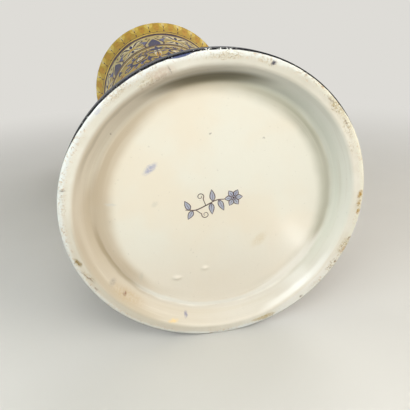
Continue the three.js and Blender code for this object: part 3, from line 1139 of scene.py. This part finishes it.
def foot_decoration():
    gaps = around(FOOT_SKIN, 24, FOOT_TURN + 7.5, 9.4)
    for sheet, gap in zip(around(FOOT_SKIN, 24, FOOT_TURN, 9.4), gaps):
        ochre.stroke(sheet, [(0, -0.4), (0, 2.4), (0, 6.6)], [6.4, 6, 4, 2, 0.3])
        cream.leaf(sheet, (0, -0.2), (0, 4.6), 1.3)
        pale_blue.leaf(gap, (0, 0.2), (0, 4.6), 1.5)
        cream.dot(gap, (0, 6.2), 0.65)
    heart = np.array([9, 6.4])
    reach = 5.4
    for k in range(8):
        for mirror in (False, True):
            sheet = Sheet(FOOT_SKIN, 45 * k + FOOT_TURN, 14.2, 0.86, mirror)
            stem = np.vstack([[(0.6, 0.4), (4.4, 1.8)], spiral(heart, 5.2, -120, 1.3, 0.25)])
            cream.stroke(sheet, stem, [0.6, 1.4, 1.5, 1.1, 0.5], step=0.7)
            for at in spiral(heart, reach, -90, 0.6, 0.9, 6)[:-1]:
                away = (at - heart) / reach
                tip = at + away * 2.4 + np.array([-away[1], away[0]]) * 2
                ochre.leaf(sheet, at, tip, 1.5, -0.2)
            ochre.leaf(sheet, (4.4, 1.8), (4.2, 8.4), 1.9, 0.2)
            pale_blue.dot(sheet, heart, 1.5)
        sheet = Sheet(FOOT_SKIN, 45 * k + FOOT_TURN, 14.2)
        palmette(sheet, 2, 9, 50, ochre, cream)
        half = Sheet(FOOT_SKIN, 45 * (k + 0.5) + FOOT_TURN, 17)
        flower(half, (0, 2.4), 2.6, 6, pale_blue, cream)
    for height, width in ((8.4, 0.7), (13.4, 0.8), (25.2, 0.9), (38.8, 0.7)):
        ochre.ring(FOOT_SKIN, height, width, 0.12)
    for sheet, gap in zip(around(FOOT_SKIN, 10, 0, 30.4), around(FOOT_SKIN, 10, 18, 30.4)):
        ochre.stroke(sheet, [(0, 7.4), (0, 0), (0, -7.6)], [5.2, 6.6, 7, 5.4, 3, 0.3])
        pale_blue.leaf(gap, (0, -6), (0, 4), 1.6)
        manganese.leaf(sheet, (0, 6.5), (0, -5.4), 1.7)


def knop_decoration():
    leaves = 14
    middle = KNOP_BASE + KNOP_HEIGHT / 2
    for sheet in around(KNOP_SKIN, leaves, 0, middle, turn=-24):
        ochre.leaf(sheet, (0, -6.2), (0, 6.2), 2.4)
    for gap in around(KNOP_SKIN, leaves, 180 / leaves, middle):
        cream.dot(gap, (0, 0), 0.7)


def drawn_leaf(sheet, base, tip, width):
    """A leaf with a pale wash, an outline and a midrib, as if printed and then tinted."""
    base, tip = np.asarray(base, dtype=float), np.asarray(tip, dtype=float)
    way = tip - base
    across = np.array([-way[1], way[0]]) / np.linalg.norm(way) * width / 2
    wash.stroke(sheet, [base, base + way * 0.45, tip], [0.1, width * 0.9, width, width * 0.6, 0.1])
    for side in (-1, 1):
        outline = [base, base + way * 0.3 + across * side, base + way * 0.62 + across * 0.85 * side, tip]
        ink.stroke(sheet, outline, [0.22, 0.34, 0.34, 0.18], step=0.4)
    ink.stroke(sheet, [base, base + way * 0.7], [0.26, 0.12], step=0.5)


# The photograph's column and row of the middle of its printed mark

MOTIF_COLUMN = 211
MOTIF_ROW = 203


def recess_motif():
    """A small drawn sprig of no particular maker, where the photograph has a printed mark."""
    sheet = FloorSheet(underside_place(MOTIF_COLUMN, MOTIF_ROW, RECESS_DEPTH), -12)
    stem = [(-10.5, -4.5), (-6, -4), (-1.5, -1), (2, 1.6), (6, 2.6)]
    ink.stroke(sheet, stem, [0.25, 0.5, 0.5, 0.4, 0.3], step=0.5)
    for start, away, middle, size, turn in (
        ((-6, -4), (-3.4, -5.4), (-1.4, -5.6), 1.7, 180),
        ((-2, -1.4), (-3.6, 1.2), (-5.2, 2.4), 1.6, -20),
    ):
        tendril = np.vstack([[start, away], spiral(middle, size, turn, 1.2, 0.3, 14)])
        ink.stroke(sheet, tendril, [0.3, 0.36, 0.3, 0.18], step=0.4)
    for base, tip in (
        ((-8.4, -4.4), (-11.6, -0.4)), ((-7.2, -4.3), (-8.6, -8.8)), ((0.8, 0.8), (-1, 6.2)),
        ((3, 2), (6.4, -2.8)), ((0, 0.2), (1.6, -5.2)),
    ):
        drawn_leaf(sheet, base, tip, 2.1)
    heart = np.array([9.4, 3.6])
    for way in directions(6):
        drawn_leaf(sheet, heart + way * 0.7, heart + way * 4, 2.2)
    wash.dot(sheet, heart, 0.9)
    ink.dot(sheet, heart, 0.5)


body_decoration()
foot_decoration()
knop_decoration()
recess_motif()


# Pieces

def bore(base, height):
    """The bore's part in a turned piece, from the top down."""
    return np.array([[BORE_RADIUS, base + height], [BORE_RADIUS, base]])


def walled(name, outside, inside, sides, glaze, shape=None, closed=False):
    """A turned piece with a glaze of its own outside and the plain one inside."""
    profile = joined(outside, inside)
    return turned(name, profile, sides, [glaze, inner_glaze], len(outside) - 1, shape, closed)


def slip_ring(name, base):
    bead = arc(point(NECK_RADIUS, base + SLIP_THICKNESS / 2), SLIP_THICKNESS / 2, -90, 90, 10)
    return turned(name, joined(bead, bore(base, SLIP_THICKNESS)), 128, [slip_glaze], closed=True)


foot = walled("vase_foot", FOOT_OUTSIDE, FOOT_INSIDE, 320, foot_glaze, underside_relief)
body = walled("vase_body", BODY_OUTSIDE, BODY_INSIDE, 256, body_glaze, closed=True)
knop = walled("vase_knop", KNOP_OUTSIDE, bore(KNOP_BASE, KNOP_HEIGHT), 192, knop_glaze, closed=True)
lower_slip = slip_ring("lower_slip_ring", LOWER_SLIP_BASE)
upper_slip = slip_ring("upper_slip_ring", UPPER_SLIP_BASE)

for piece, node, slot in (
    (foot, "foot", "cream_glaze"),
    (lower_slip, "lower_slip_joint", "fired_slip"),
    (knop, "stem_knop", "cobalt_glaze"),
    (upper_slip, "upper_slip_joint", "fired_slip"),
    (body, "body", "yellow_glaze"),
):
    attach(piece, BODY)
    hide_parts(node)

ENAMELS = (
    (cream, "cream_enamel", (240, 228, 188), (228, 208, 156), (248, 240, 212), "cream_glaze"),
    (lemon, "lemon_enamel", (232, 202, 92), (220, 180, 62), (240, 218, 130), "yellow_glaze"),
    (ochre, "ochre_enamel", (208, 158, 46), (184, 132, 36), (222, 182, 80), "yellow_glaze"),
    (pale_blue, "pale_blue_enamel", (112, 114, 152), (88, 90, 132), (146, 146, 172), "cobalt_glaze"),
    (cobalt, "cobalt_enamel", (42, 44, 102), (26, 26, 66), (66, 70, 132), "cobalt_glaze"),
    (manganese, "manganese_enamel", (88, 54, 60), (60, 36, 42), (118, 84, 88), "cobalt_glaze"),
    (wash, "wash_enamel", (186, 188, 200), (168, 170, 188), (206, 204, 206), "cobalt_glaze"),
    (ink, "ink_enamel", (108, 88, 80), (86, 68, 62), (146, 128, 116), "cobalt_glaze"),
)

for brush, name, *colours, slot in ENAMELS:
    painted = make_object(name, brush.vertices, brush.faces, [enamel(name, *colours)])
    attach(painted, BODY)


bpy.context.scene.view_settings.view_transform = "Standard"
